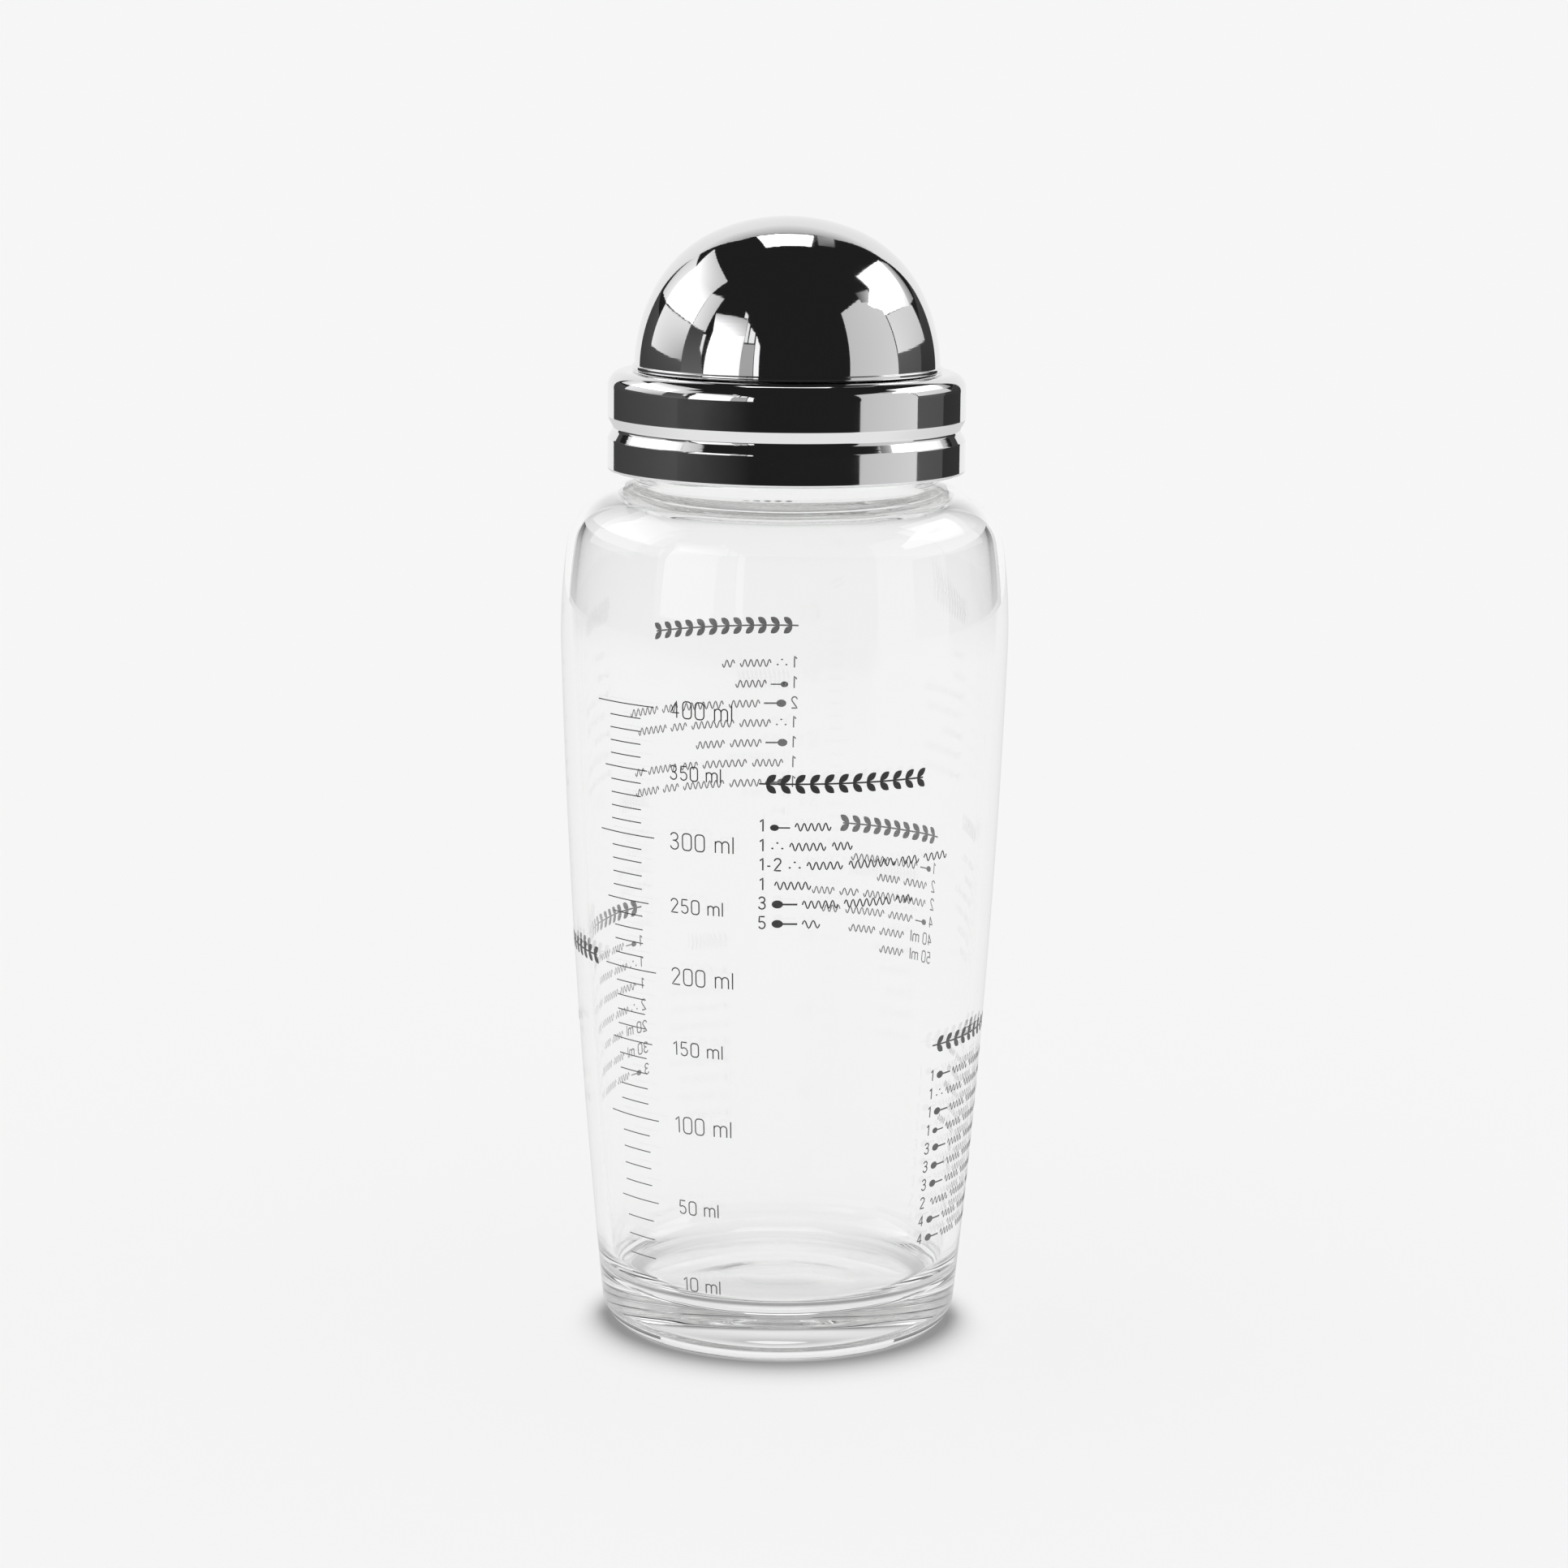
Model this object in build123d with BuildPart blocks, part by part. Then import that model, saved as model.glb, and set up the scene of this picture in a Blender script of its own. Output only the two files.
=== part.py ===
from build123d import *
import os
from math import asin, atan, atan2, cos, degrees, radians, sin, sqrt

# A salad dressing shaker: a clear glass bottle, a screwed-on steel collar and a domed cap that
# pushes over the collar's pouring neck. All lengths are in millimetres and all angles in degrees.
# The origin is the middle of the foot, on the table, and +Z points up through the dome.

# Glass body
foot_radius = 31.9            # outer wall, carried down to the table
foot_round = 5.2
belly_radius = 40.17          # where the long wall meets the flank under the shoulder
belly_height = 125.0
wall_bow = 1.15               # how far the long wall bulges from a straight line
flank_radius = 107.0
flank_turn = 10.6
shoulder_radius = 11.4
glass_wall = 2.7
floor_thickness = 8.4
floor_round = 7.6
floor_crown_inset = 1.1       # from the floor's round in to where the floor starts to rise
floor_crown_rise = 1.0
foot_ring_width = 4.7         # the flat ring that the bottle stands on, round the hollow under it
punt_depth = 0.8

# Glass neck and its thread
neck_wall = 3.0
neck_root_round = 2.0
neck_mouth_round = 3.0        # inside, where the shoulder runs into the neck
rim_round = 0.9
thread_starts = 2
thread_lead = 8.0
thread_depth = 1.4
thread_root_width = 2.6
thread_crest_width = 1.3
thread_sink = 0.4             # how far a ridge's root reaches into the wall that carries it
thread_clearance = 0.35
thread_flank_gap = 0.3
thread_above_foot = 0.3       # first ridge's middle, above the collar's lower edge
thread_end_gap = 0.58         # from the insert's ridges up to the bead that holds the seal
thread_first_azimuth = -52.0  # where the first ridge starts, to the right of the front

# Steel collar
collar_radius = 32.0
collar_height = 17.7
collar_gap = 2.5              # from the top of the shoulder to the collar's lower edge
sheet = 0.6
ledge_width = 4.7             # from the collar's side in to the dome
ledge_round = 2.8
ledge_hole_gap = 0.4          # from the pouring neck's bend out to the edge of the hole round it
groove_height = 7.6           # middle of the groove, above the collar's lower edge
groove_half_width = 1.9
groove_depth = 1.05
groove_lip_round = 0.7
groove_bed_round = 1.0
hem_width = 1.3
hem_round = 0.55

# Plastic thread insert
insert_wall = 2.65
insert_plate = 1.3
plate_hole_gap = 0.2          # from the pouring neck's bore out to the edge of the plate's hole
flange_clearance = 0.1
seal_bead_height = 0.9
seal_bead_reach = 0.6         # how far the bead stands in past the seal's edge

# Silicone seal on the glass rim
seal_thickness = 1.6
seal_gap = 0.3
seal_overhang = 0.2           # past the mouth's edge, inward
seal_round = 0.4

# Pouring neck
spout_setback = 7.9           # from the dome's side in to the pouring neck
flange_inset = 1.6            # from the ledge's round in to the flange's edge
spout_bend_round = 0.8
lip_reach = 1.0
lip_rise = 0.8
lip_round = 0.8
ring_section = 0.85
ring_height = 5.6             # middle of the ring above the ledge
ring_bed_depth = 0.5
ring_clearance = 0.05

# Strainer
strainer_thickness = 0.6
strainer_clearance = 0.05
strainer_bar = 1.7            # metal between one ring of holes and the next
strainer_rim = 2.05           # plain edge outside the last ring of holes
strainer_rings = 4
strainer_holes_per_ring = 6   # in the first ring, and as many more in each further one

# Domed cap
dome_side_radius = 30.3
dome_side_turn = 28.7
dome_shoulder_radius = 23.0
dome_shoulder_turn = 39.3
dome_seat_gap = 0.2
foot_bead_reach = 0.35        # the hem's swell at the foot
foot_bead_height = 0.9
foot_bead_round = 0.3
liner_wall = 1.3
liner_round = 0.6
liner_gap = 0.6               # round the pouring neck's lip
liner_shoulder_gap = 0.675    # from the liner's upper corner out to the dome
liner_foot_gap = 0.8          # above the ledge
liner_flange_height = 1.6
liner_flange_clearance = 0.08
pad_gap = 0.3
pad_thickness = 1.6
pad_clearance = 0.05
pad_round = 0.4

# One overrun for every cut that has to pass a surface
overrun = 1.0

# Radii from the collar inward
insert_bore = collar_radius - sheet - insert_wall
neck_radius = insert_bore - thread_clearance - thread_depth
mouth_radius = neck_radius - neck_wall
seal_outer_radius = neck_radius + thread_depth
dome_radius = collar_radius - ledge_width
spout_radius = dome_radius - spout_setback
ledge_hole_radius = spout_radius + spout_bend_round + ledge_hole_gap
plate_hole_radius = spout_radius - sheet + plate_hole_gap
flange_radius = collar_radius - sheet - ledge_round - flange_inset

# The glass body's side: three arcs that run into each other without a kink
wall_chord = sqrt(belly_height**2 + (belly_radius - foot_radius) ** 2)
wall_radius = (wall_chord**2 / 4 + wall_bow**2) / (2 * wall_bow)
lean = degrees(atan((belly_radius - foot_radius) / belly_height) - asin(wall_chord / 2 / wall_radius))
wall_centre = (
    belly_radius - wall_radius * cos(radians(lean)),
    belly_height + wall_radius * sin(radians(lean)),
)
flank_centre = (
    belly_radius - flank_radius * cos(radians(lean)),
    belly_height + flank_radius * sin(radians(lean)),
)
shoulder_start = flank_turn - lean
shoulder_centre = (
    flank_centre[0] + (flank_radius - shoulder_radius) * cos(radians(shoulder_start)),
    flank_centre[1] + (flank_radius - shoulder_radius) * sin(radians(shoulder_start)),
)
shoulder_top = shoulder_centre[1] + shoulder_radius
punt_radius = foot_radius - foot_round - foot_ring_width
floor_crown_radius = foot_radius - glass_wall - floor_round - floor_crown_inset

# Heights through the closure, from the collar's lower edge up
collar_foot = shoulder_top + collar_gap
ledge_height = collar_foot + collar_height
flange_top = ledge_height - sheet
plate_top = flange_top - sheet
plate_foot = plate_top - insert_plate
seal_top = plate_foot - seal_gap
seal_foot = seal_top - seal_thickness
rim_height = seal_foot - seal_gap
insert_foot = collar_foot + sheet

# The thread: the insert's ridges run midway between the glass ones, narrower by the gap on both flanks
thread_spacing = thread_lead / thread_starts
flank_slope = (thread_root_width - thread_crest_width) / thread_depth
glass_width_at_crest = thread_root_width - flank_slope * thread_clearance
glass_width_at_bore = thread_root_width - flank_slope * (thread_depth + thread_clearance)
insert_crest_width = thread_spacing - glass_width_at_crest - 2 * thread_flank_gap
insert_root_width = thread_spacing - glass_width_at_bore - 2 * thread_flank_gap
thread_start = collar_foot + thread_above_foot
insert_thread_start = thread_start + thread_spacing / 2
insert_thread_end = rim_height - seal_bead_height - thread_end_gap - insert_root_width / 2
thread_rise = insert_thread_end - insert_thread_start


def body_side(inset, floor_level, corner_round, neck_line, neck_round):
    """The floor, the corner above it, the wall, flank and shoulder arcs, all moved in by the inset, and
    the round that turns the shoulder up into the neck. Returns the point where the neck's line starts."""
    corner_height = floor_level + corner_round
    corner_swing = wall_radius - inset - corner_round
    corner_reach = wall_centre[0] + sqrt(corner_swing**2 - (corner_height - wall_centre[1]) ** 2)
    corner_end = degrees(atan2(corner_height - wall_centre[1], corner_reach - wall_centre[0]))
    Line((0, floor_level), (corner_reach, floor_level))
    CenterArc((corner_reach, corner_height), corner_round, -90, 90 + corner_end)
    CenterArc(wall_centre, wall_radius - inset, corner_end, -lean - corner_end)
    CenterArc(flank_centre, flank_radius - inset, -lean, flank_turn)
    turn_reach = neck_line + neck_round - shoulder_centre[0]
    turn_rise = sqrt((shoulder_radius - inset + neck_round) ** 2 - turn_reach**2)
    shoulder_end = degrees(atan2(turn_rise, turn_reach))
    turn_centre = (neck_line + neck_round, shoulder_centre[1] + turn_rise)
    CenterArc(shoulder_centre, shoulder_radius - inset, shoulder_start, shoulder_end - shoulder_start)
    CenterArc(turn_centre, neck_round, shoulder_end + 180, -shoulder_end)
    return neck_line, turn_centre[1]


def thread_ridge(route_radius, root_reach, crest_reach, root_width, crest_width, first_height):
    """One helical ridge of trapezoid section. A reach is measured out from the route, inward if negative."""
    with BuildPart() as ridge:
        with BuildLine() as route:
            Helix(pitch=thread_lead, height=thread_rise, radius=route_radius, center=(0, 0, first_height))
        start = Plane(origin=route.line @ 0, x_dir=(1, 0, 0), z_dir=route.line % 0)
        with BuildSketch(start):
            with BuildLine():
                Polyline(
                    (root_reach, -root_width / 2),
                    (crest_reach, -crest_width / 2),
                    (crest_reach, crest_width / 2),
                    (root_reach, root_width / 2),
                    close=True,
                )
            make_face()
        sweep(path=route.line, is_frenet=True)
    return ridge.part


# Glass bottle: outer form
with BuildPart() as glass_bottle:
    with BuildSketch(Plane.XZ):
        with BuildLine():
            neck_start = body_side(0, 0, foot_round, neck_radius, neck_root_round)
            Polyline(neck_start, (neck_radius, rim_height), (0, rim_height), (0, 0))
        make_face()
    revolve(axis=Axis.Z)

# The hollow inside the glass
with BuildPart() as hollow:
    with BuildSketch(Plane.XZ):
        with BuildLine():
            mouth_start = body_side(
                glass_wall, floor_thickness, floor_round, mouth_radius, neck_mouth_round
            )
            Polyline(
                mouth_start,
                (mouth_radius, rim_height + overrun),
                (0, rim_height + overrun),
                (0, floor_thickness),
            )
        make_face()
    revolve(axis=Axis.Z)


def shallow_cap(cap_radius, rise, level):
    """A slice of a large ball, flat side down at the level."""
    ball_radius = (cap_radius**2 + rise**2) / (2 * rise)
    with BuildPart() as cap:
        with BuildSketch(Plane.XZ):
            with BuildLine():
                reach = degrees(asin(cap_radius / ball_radius))
                CenterArc((0, level + rise - ball_radius), ball_radius, 90, -reach)
                Polyline((cap_radius, level), (0, level), (0, level + rise))
            make_face()
        revolve(axis=Axis.Z)
    return cap.part


male_ridge = thread_ridge(
    neck_radius, -thread_sink, thread_depth, thread_root_width, thread_crest_width, thread_start
)
with glass_bottle:
    add(hollow.part, mode=Mode.SUBTRACT)
    add(shallow_cap(floor_crown_radius, floor_crown_rise, floor_thickness))
    add(shallow_cap(punt_radius, punt_depth, 0), mode=Mode.SUBTRACT)
    fillet(glass_bottle.edges().filter_by(GeomType.CIRCLE).group_by(Axis.Z)[-1], rim_round)
    with Locations(Rotation(0, 0, thread_first_azimuth)):
        with PolarLocations(0, thread_starts):
            add(male_ridge)
glass_bottle.part.label = "glass_bottle"

# Steel collar: the outer face runs from the ledge's hole out, down both bands and in under the rim
groove_middle = collar_foot + groove_height
collar_points = (
    (ledge_hole_radius, ledge_height),
    (collar_radius, ledge_height),
    (collar_radius, groove_middle + groove_half_width),
    (collar_radius - groove_depth, groove_middle),
    (collar_radius, groove_middle - groove_half_width),
    (collar_radius, collar_foot),
    (collar_radius - hem_width, collar_foot),
)
collar_rounds = (ledge_round, groove_lip_round, groove_bed_round, groove_lip_round, hem_round)

with BuildPart() as collar_shell:
    with BuildSketch(Plane.XZ):
        with BuildLine():
            FilletPolyline(*collar_points, radius=collar_rounds)
            offset(amount=sheet, side=Side.RIGHT)
        make_face()
    revolve(axis=Axis.Z)
collar_shell.part.label = "collar_shell"

# Plastic insert: what the collar encloses, bored out for the glass neck, the seal and the flange above
bead_radius = seal_outer_radius - seal_bead_reach
hem_radius = collar_radius - hem_width
flange_seat_radius = flange_radius + flange_clearance
with BuildPart() as thread_insert:
    with BuildSketch(Plane.XZ):
        with BuildLine():
            FilletPolyline(*collar_points, radius=collar_rounds)
            Polyline(collar_points[-1], (0, collar_foot), (0, ledge_height), collar_points[0])
        make_face()
    revolve(axis=Axis.Z)
    add(collar_shell.part, mode=Mode.SUBTRACT)
    with BuildSketch(Plane.XZ):
        with BuildLine():
            Polyline(
                (0, collar_foot - overrun),
                (hem_radius, collar_foot - overrun),
                (hem_radius, insert_foot),
                (insert_bore, insert_foot),
                (insert_bore, rim_height - seal_bead_height),
                (bead_radius, rim_height - seal_bead_height),
                (bead_radius, rim_height),
                (insert_bore, rim_height),
                (insert_bore, plate_foot),
                (plate_hole_radius, plate_foot),
                (plate_hole_radius, plate_top),
                (flange_seat_radius, plate_top),
                (flange_seat_radius, ledge_height + overrun),
                (0, ledge_height + overrun),
                close=True,
            )
        make_face()
    revolve(axis=Axis.Z, mode=Mode.SUBTRACT)

female_ridge = thread_ridge(
    insert_bore, thread_sink, -thread_depth, insert_root_width, insert_crest_width, insert_thread_start
)
with thread_insert:
    with Locations(Rotation(0, 0, thread_first_azimuth)):
        with PolarLocations(0, thread_starts):
            add(female_ridge)
thread_insert.part.label = "thread_insert"

# Silicone ring on the glass rim
with BuildPart() as neck_seal:
    with BuildSketch(Plane.XY.offset(seal_foot)):
        Circle(seal_outer_radius)
        Circle(mouth_radius - seal_overhang, mode=Mode.SUBTRACT)
    extrude(amount=seal_thickness)
    fillet(neck_seal.edges(), seal_round)
neck_seal.part.label = "neck_seal"

# Pouring neck: a drawn tube with a flange under the ledge, a bed for its ring and a flared lip. It rises
# until the liner over it, with the pad between them, meets the inside of the dome.
dome_foot = ledge_height + dome_seat_gap
dome_side_centre = (dome_radius - dome_side_radius, dome_foot)
skirt_radius = spout_radius + lip_reach + liner_gap
liner_radius = skirt_radius + liner_wall
liner_top = dome_foot + sqrt(
    (dome_side_radius - sheet) ** 2 - (liner_radius + liner_shoulder_gap - dome_side_centre[0]) ** 2
)
pad_top = liner_top - liner_wall
pad_foot = pad_top - pad_thickness
lip_top = pad_foot - pad_gap
ring_middle = ledge_height + ring_height
bed_radius = ring_section + ring_clearance
bed_half_height = sqrt(bed_radius**2 - (bed_radius - ring_bed_depth) ** 2)
ring_centre_radius = spout_radius - ring_bed_depth + bed_radius
lip_edge_height = lip_top - sheet * lip_reach / sqrt(lip_reach**2 + lip_rise**2)
with BuildPart() as pouring_neck:
    with BuildSketch(Plane.XZ):
        with BuildLine():
            FilletPolyline(
                (flange_radius, flange_top),
                (spout_radius, flange_top),
                (spout_radius, ring_middle - bed_half_height),
                radius=spout_bend_round,
            )
            ThreePointArc(
                (spout_radius, ring_middle - bed_half_height),
                (spout_radius - ring_bed_depth, ring_middle),
                (spout_radius, ring_middle + bed_half_height),
            )
            FilletPolyline(
                (spout_radius, ring_middle + bed_half_height),
                (spout_radius, lip_edge_height - lip_rise),
                (spout_radius + lip_reach, lip_edge_height),
                radius=lip_round,
            )
            offset(amount=sheet, side=Side.LEFT)
        make_face()
    revolve(axis=Axis.Z)
pouring_neck.part.label = "pouring_neck"

# Silicone ring in the pouring neck's bed
with BuildPart() as pouring_neck_ring:
    with BuildSketch(Plane.XZ):
        with Locations((ring_centre_radius, ring_middle)):
            Circle(ring_section)
    revolve(axis=Axis.Z)
pouring_neck_ring.part.label = "pouring_neck_ring"

# Strainer: a perforated disc that sits on the bulge which the ring's bed leaves inside
strainer_radius = spout_radius - sheet - strainer_clearance
strainer_ring_step = (strainer_radius - strainer_rim + strainer_bar / 2) / (strainer_rings + 1 / 2)
strainer_hole_radius = (strainer_ring_step - strainer_bar) / 2
strainer_foot = (
    ring_middle
    + sqrt((bed_radius + sheet) ** 2 - (ring_centre_radius - strainer_radius) ** 2)
    + strainer_clearance
)
with BuildPart() as strainer_disc:
    with BuildSketch(Plane.XY.offset(strainer_foot)):
        Circle(strainer_radius)
        Circle(strainer_hole_radius, mode=Mode.SUBTRACT)
        for ring in range(1, strainer_rings + 1):
            with PolarLocations(ring * strainer_ring_step, ring * strainer_holes_per_ring):
                Circle(strainer_hole_radius, mode=Mode.SUBTRACT)
    extrude(amount=strainer_thickness)
strainer_disc.part.label = "strainer_disc"

# Domed cap: three arcs from the hemmed foot to the crown, the last one centred on the axis
dome_shoulder_end = dome_side_turn + dome_shoulder_turn
dome_shoulder_centre = (
    dome_side_centre[0] + (dome_side_radius - dome_shoulder_radius) * cos(radians(dome_side_turn)),
    dome_side_centre[1] + (dome_side_radius - dome_shoulder_radius) * sin(radians(dome_side_turn)),
)
crown_radius = dome_shoulder_radius + dome_shoulder_centre[0] / cos(radians(dome_shoulder_end))
crown_centre = (
    0,
    dome_shoulder_centre[1] - (crown_radius - dome_shoulder_radius) * sin(radians(dome_shoulder_end)),
)
with BuildPart() as dome_shell:
    with BuildSketch(Plane.XZ):
        with BuildLine():
            CenterArc(dome_side_centre, dome_side_radius, 0, dome_side_turn)
            CenterArc(dome_shoulder_centre, dome_shoulder_radius, dome_side_turn, dome_shoulder_turn)
            CenterArc(crown_centre, crown_radius, dome_shoulder_end, 90 - dome_shoulder_end)
            offset(amount=sheet, side=Side.LEFT)
        make_face()
    revolve(axis=Axis.Z)
    with BuildSketch(Plane.XZ):
        with Locations((dome_radius + (foot_bead_reach - sheet) / 2, dome_foot + foot_bead_height / 2)):
            RectangleRounded(sheet + foot_bead_reach, foot_bead_height, foot_bead_round)
    revolve(axis=Axis.Z)
dome_shell.part.label = "dome_shell"

# Liner: a plastic cup inside the dome that slides over the pouring neck
liner_foot = ledge_height + liner_foot_gap
liner_flange_top = liner_foot + liner_flange_height
liner_flange_radius = (
    dome_side_centre[0]
    + sqrt((dome_side_radius - sheet) ** 2 - (liner_flange_top - dome_side_centre[1]) ** 2)
    - liner_flange_clearance
)
with BuildPart() as dome_liner:
    with BuildSketch(Plane.XZ):
        with BuildLine():
            Polyline(
                (liner_radius, liner_flange_top),
                (liner_flange_radius, liner_flange_top),
                (liner_flange_radius, liner_foot),
                (skirt_radius, liner_foot),
                (skirt_radius, pad_top),
                (0, pad_top),
                (0, liner_top),
            )
            FilletPolyline(
                (0, liner_top),
                (liner_radius, liner_top),
                (liner_radius, liner_flange_top),
                radius=liner_round,
            )
        make_face()
    revolve(axis=Axis.Z)
dome_liner.part.label = "dome_liner"

# Silicone pad in the liner, over the pouring neck's lip
with BuildPart() as dome_seal:
    with BuildSketch(Plane.XY.offset(pad_foot)):
        Circle(skirt_radius - pad_clearance)
    extrude(amount=pad_thickness)
    fillet(dome_seal.edges().filter_by(GeomType.CIRCLE), pad_round)
dome_seal.part.label = "dome_seal"

pieces = (
    glass_bottle,
    neck_seal,
    collar_shell,
    thread_insert,
    pouring_neck,
    pouring_neck_ring,
    strainer_disc,
    dome_shell,
    dome_liner,
    dome_seal,
)
os.makedirs("parts", exist_ok=True)
for piece in pieces:
    export_step(piece.part, f"parts/{piece.part.label}.step")
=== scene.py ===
from math import atan, asin, cos, pi, radians, sin, sqrt

import bpy
import numpy as np
from mathutils import Matrix


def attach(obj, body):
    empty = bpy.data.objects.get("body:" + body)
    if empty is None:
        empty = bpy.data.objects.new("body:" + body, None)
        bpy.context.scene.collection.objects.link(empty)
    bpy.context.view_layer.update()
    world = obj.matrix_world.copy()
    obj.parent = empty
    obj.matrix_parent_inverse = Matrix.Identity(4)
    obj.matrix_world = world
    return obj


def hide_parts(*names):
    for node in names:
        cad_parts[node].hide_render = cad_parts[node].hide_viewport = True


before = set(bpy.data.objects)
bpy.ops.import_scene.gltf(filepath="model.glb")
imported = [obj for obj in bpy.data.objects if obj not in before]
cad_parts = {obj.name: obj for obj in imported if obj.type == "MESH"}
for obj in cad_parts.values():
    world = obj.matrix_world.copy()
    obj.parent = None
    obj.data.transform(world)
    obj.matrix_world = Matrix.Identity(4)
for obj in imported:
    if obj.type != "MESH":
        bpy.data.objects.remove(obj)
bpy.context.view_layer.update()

# A salad dressing shaker: a clear glass bottle with a printed volume scale, a screwed-on steel
# collar and a domed steel cap over the pouring neck. Lengths are in millimetres until a mesh is
# made, and azimuths are in degrees from the front of the bottle, which faces -Y, to its right.

mm = 0.001
segments = 256

# Sizes of the glass, as in the part
foot_radius = 31.9
foot_round = 5.2
belly_radius = 40.17
belly_height = 125.0
wall_bow = 1.15
flank_radius = 107.0
flank_turn = 10.6
shoulder_radius = 11.4
glass_wall = 2.7
floor_thickness = 8.4
floor_round = 7.6
floor_crown_radius = 20.5
floor_crown_rise = 1.0
punt_radius = 22.0
punt_depth = 0.8
neck_radius = 27.0
mouth_radius = 24.0
neck_root_round = 2.0
neck_mouth_round = 3.0
rim_round = 0.9
thread_lead = 8.0
thread_starts = 2
thread_depth = 1.4
thread_root_width = 2.6
thread_crest_width = 1.3
thread_rise = 7.96
thread_above_foot = 0.3
thread_first_azimuth = -52.0
thread_runout = 14.0          # degrees over which a ridge fades at its ends

# Sizes of the steel, and of what lies between it and the rim
sheet = 0.6
collar_radius = 32.0
collar_gap = 2.5
collar_height = 17.7
ledge_hole_radius = 20.6
ledge_round = 2.8
groove_height = 7.6
groove_half_width = 1.9
groove_depth = 1.05
groove_lip_round = 0.7
groove_bed_round = 1.0
hem_width = 1.3
hem_round = 0.55
insert_plate = 1.3
seal_gap = 0.3
seal_thickness = 1.6
dome_radius = 27.3
dome_seat_gap = 0.2
dome_side_radius = 30.3
dome_side_turn = 28.7
dome_shoulder_radius = 23.0
dome_shoulder_turn = 39.3
foot_bead_reach = 0.35
foot_bead_height = 0.9
foot_bead_round = 0.3

# The arcs of the glass wall, worked out as in the part
wall_chord = sqrt(belly_height**2 + (belly_radius - foot_radius) ** 2)
wall_radius = (wall_chord**2 / 4 + wall_bow**2) / (2 * wall_bow)
lean = atan((belly_radius - foot_radius) / belly_height) - asin(wall_chord / 2 / wall_radius)
wall_centre = (belly_radius - wall_radius * cos(lean), belly_height + wall_radius * sin(lean))
flank_centre = (belly_radius - flank_radius * cos(lean), belly_height + flank_radius * sin(lean))
shoulder_start = radians(flank_turn) - lean
shoulder_centre = (
    flank_centre[0] + (flank_radius - shoulder_radius) * cos(shoulder_start),
    flank_centre[1] + (flank_radius - shoulder_radius) * sin(shoulder_start),
)
collar_foot = shoulder_centre[1] + shoulder_radius + collar_gap
ledge_height = collar_foot + collar_height
rim_height = ledge_height - 2 * sheet - insert_plate - seal_gap - seal_thickness - seal_gap
dome_foot = ledge_height + dome_seat_gap


# Profiles: rows of (radius, height), walked with the solid on the left
def line(start, end, steps):
    """Points evenly spaced from the start up to, but without, the end."""
    part = np.arange(steps)[:, None] / steps
    return np.array(start) * (1 - part) + np.array(end) * part


def arc(centre, radius, start, end, steps):
    """Points on a circle from the start angle up to, but without, the end angle, in radians."""
    angle = start + (end - start) * np.arange(steps) / steps
    return np.stack((centre[0] + radius * np.cos(angle), centre[1] + radius * np.sin(angle)), axis=1)


def rounded(corners, rounds, steps):
    """A run of straight lines whose inner corners are arcs. At each corner the arc's centre lies on
    the bisector, at the round's radius from both lines."""
    corners = [np.array(corner, dtype=float) for corner in corners]
    rows = [corners[0][None]]
    for before, corner, after, radius in zip(corners, corners[1:], corners[2:], rounds):
        back = (before - corner) / np.linalg.norm(before - corner)
        ahead = (after - corner) / np.linalg.norm(after - corner)
        half = np.arccos(np.clip(back @ ahead, -1, 1)) / 2
        middle = (back + ahead) / np.linalg.norm(back + ahead)
        centre = corner + middle * radius / np.sin(half)
        first = corner + back * radius / np.tan(half) - centre
        last = corner + ahead * radius / np.tan(half) - centre
        start = np.arctan2(first[1], first[0])
        swing = (np.arctan2(last[1], last[0]) - start + pi) % (2 * pi) - pi
        rows.append(arc(centre, radius, start, start + swing * (steps + 1) / steps, steps + 1))
    rows.append(corners[-1][None])
    return np.concatenate(rows)


def moved_in(profile, depth):
    """The profile moved to its left by the depth, along the mean of the two runs at each point."""
    run = np.gradient(profile, axis=0)
    run /= np.linalg.norm(run, axis=1)[:, None]
    return profile + depth * np.stack((-run[:, 1], run[:, 0]), axis=1)


def body_side(inset, floor_level, corner_round, neck_line, neck_round, steps):
    """The corner above the floor, the wall, the flank, the shoulder and the turn into the neck, all
    moved in by the inset, from the floor up."""
    corner_height = floor_level + corner_round
    swing = wall_radius - inset - corner_round
    corner_reach = wall_centre[0] + sqrt(swing**2 - (corner_height - wall_centre[1]) ** 2)
    corner_end = np.arctan2(corner_height - wall_centre[1], corner_reach - wall_centre[0])
    turn_reach = neck_line + neck_round - shoulder_centre[0]
    turn_rise = sqrt((shoulder_radius - inset + neck_round) ** 2 - turn_reach**2)
    turn_start = np.arctan2(turn_rise, turn_reach)
    turn_centre = (neck_line + neck_round, shoulder_centre[1] + turn_rise)
    return np.concatenate((
        arc((corner_reach, corner_height), corner_round, -pi / 2, corner_end, steps),
        arc(wall_centre, wall_radius - inset, corner_end, -lean, steps * 2),
        arc(flank_centre, flank_radius - inset, -lean, shoulder_start, steps),
        arc(shoulder_centre, shoulder_radius - inset, shoulder_start, turn_start, steps),
        arc(turn_centre, neck_round, turn_start + pi, pi, steps // 2),
        [(neck_line, turn_centre[1])],
    ))


hold_distance = 0.04


def held(profile):
    """The profile with a point close to each end of every run longer than a millimetre, so that the
    smooth shading of the bends beside it doesn't spread over the run."""
    rows = []
    for start, end in zip(profile[:-1], profile[1:]):
        rows.append(start)
        length = np.linalg.norm(end - start)
        if length > 1.0:
            step = (end - start) * hold_distance / length
            rows += [start + step, end - step]
    return np.array(rows + [profile[-1]])


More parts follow.
